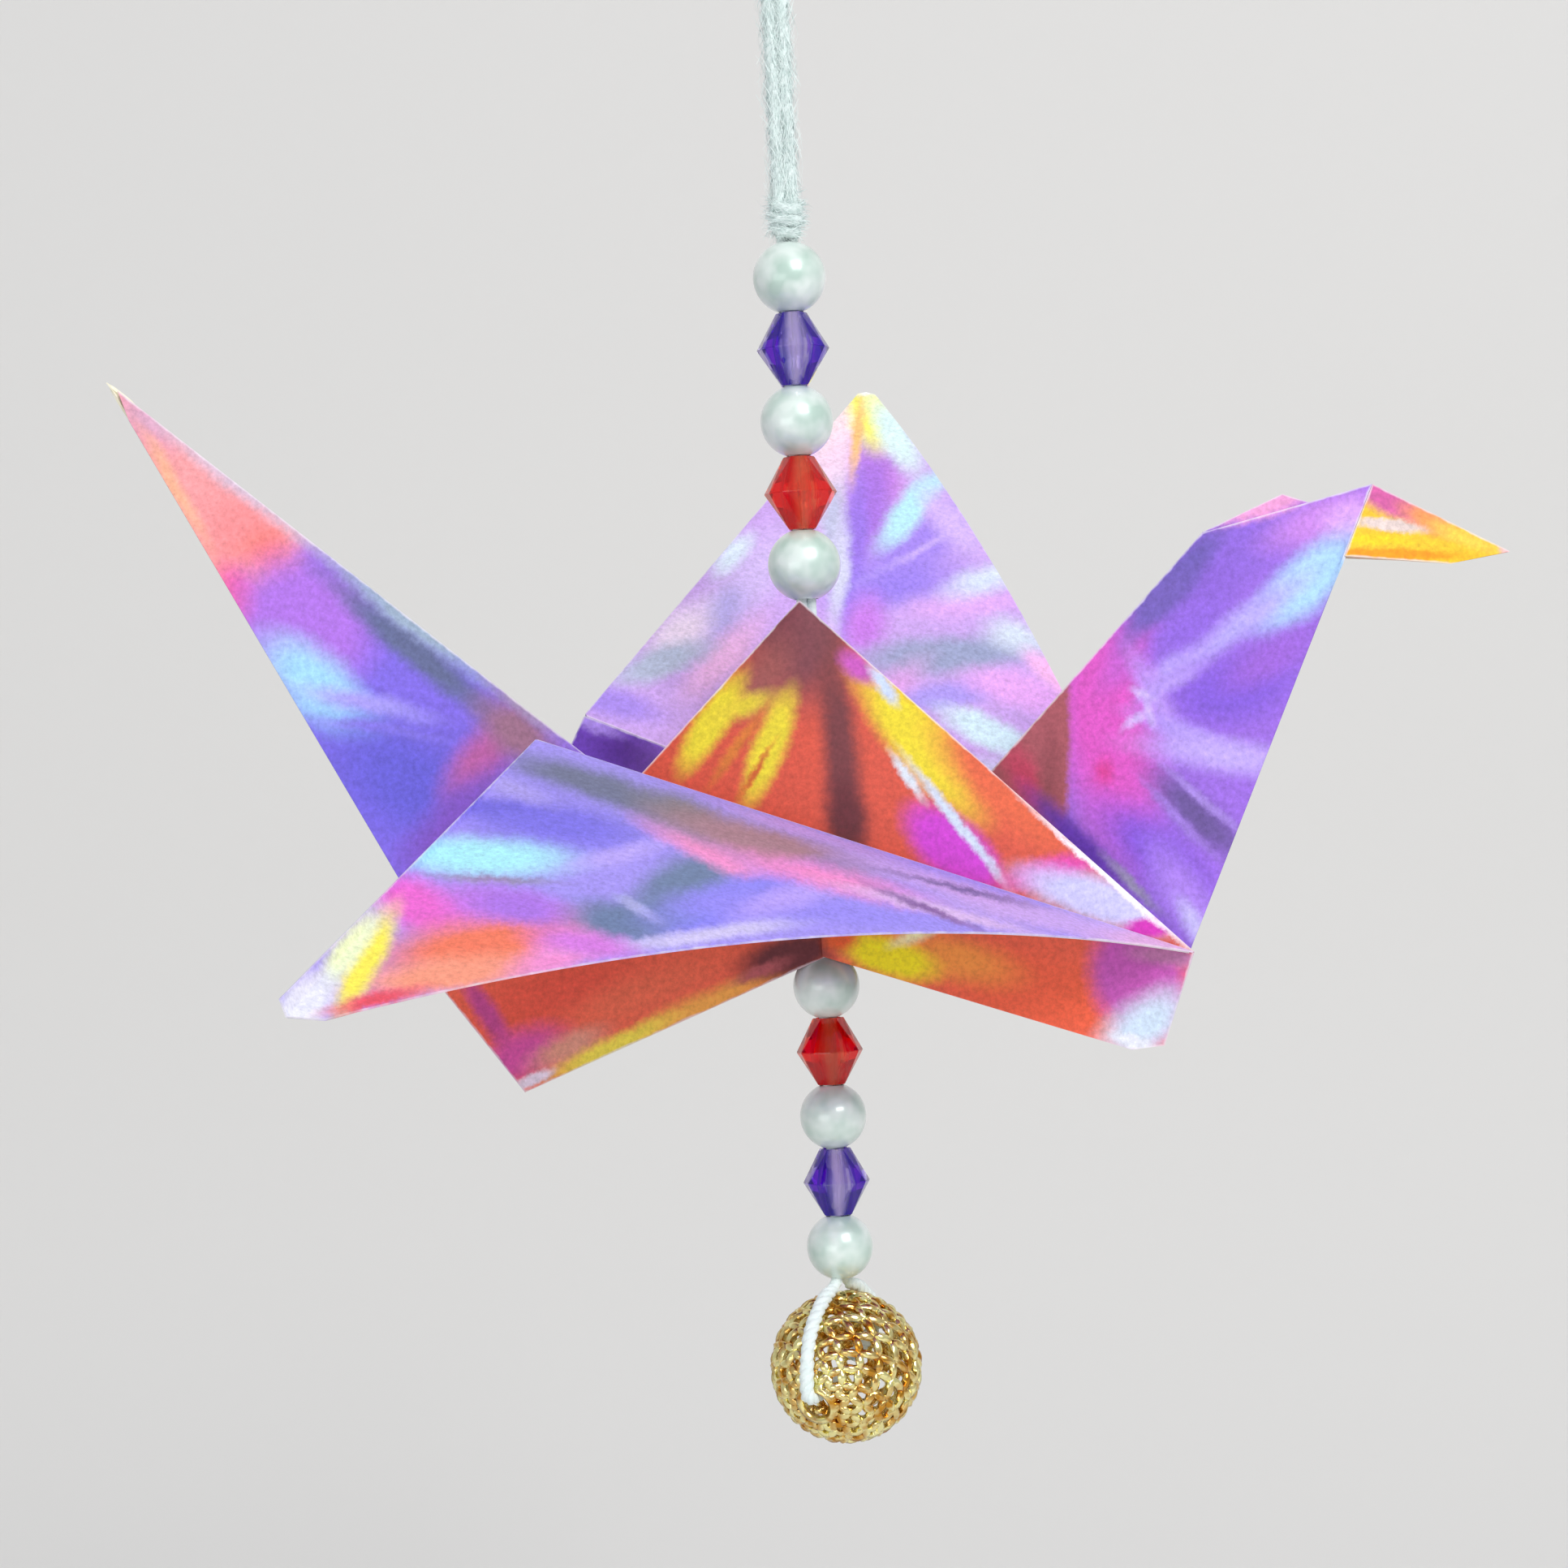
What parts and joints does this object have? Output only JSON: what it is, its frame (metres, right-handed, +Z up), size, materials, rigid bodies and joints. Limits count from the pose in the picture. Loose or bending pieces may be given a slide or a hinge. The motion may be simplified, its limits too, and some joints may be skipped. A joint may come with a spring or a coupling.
{
  "type": "hanging paper crane ornament",
  "caption": "Folded paper crane threaded on a doubled white yarn with pearl and faceted beads, a gold openwork ball under it and a loop to hang it by.",
  "frame": {"origin": "top of the yarn loop's inside, where it rests on a hook", "axes": "+Z up along the hanging yarn, +X towards the crane's beak, -Y towards the side that the lowered wing leans to"},
  "size_m": [0.1175, 0.1057, 0.1405],
  "materials": {
    "dyed_paper": "matt, tie-dye print",
    "pearl": "pearlescent",
    "red_crystal": "faceted",
    "purple_crystal": "faceted",
    "gold_wire": "polished",
    "white_yarn": "fuzzy"
  },
  "bodies": {
    "root": {"paper_crane": "dyed_paper", "upper_pearl_1": "pearl", "upper_pearl_2": "pearl", "upper_pearl_3": "pearl", "lower_pearl_1": "pearl", "lower_pearl_2": "pearl", "lower_pearl_3": "pearl", "upper_bicone_red": "red_crystal", "upper_bicone_purple": "purple_crystal", "lower_bicone_red": "red_crystal", "lower_bicone_purple": "purple_crystal", "gold_ball": "gold_wire", "yarn": "white_yarn", "yarn_knot": "white_yarn"}
  },
  "joints": []
}
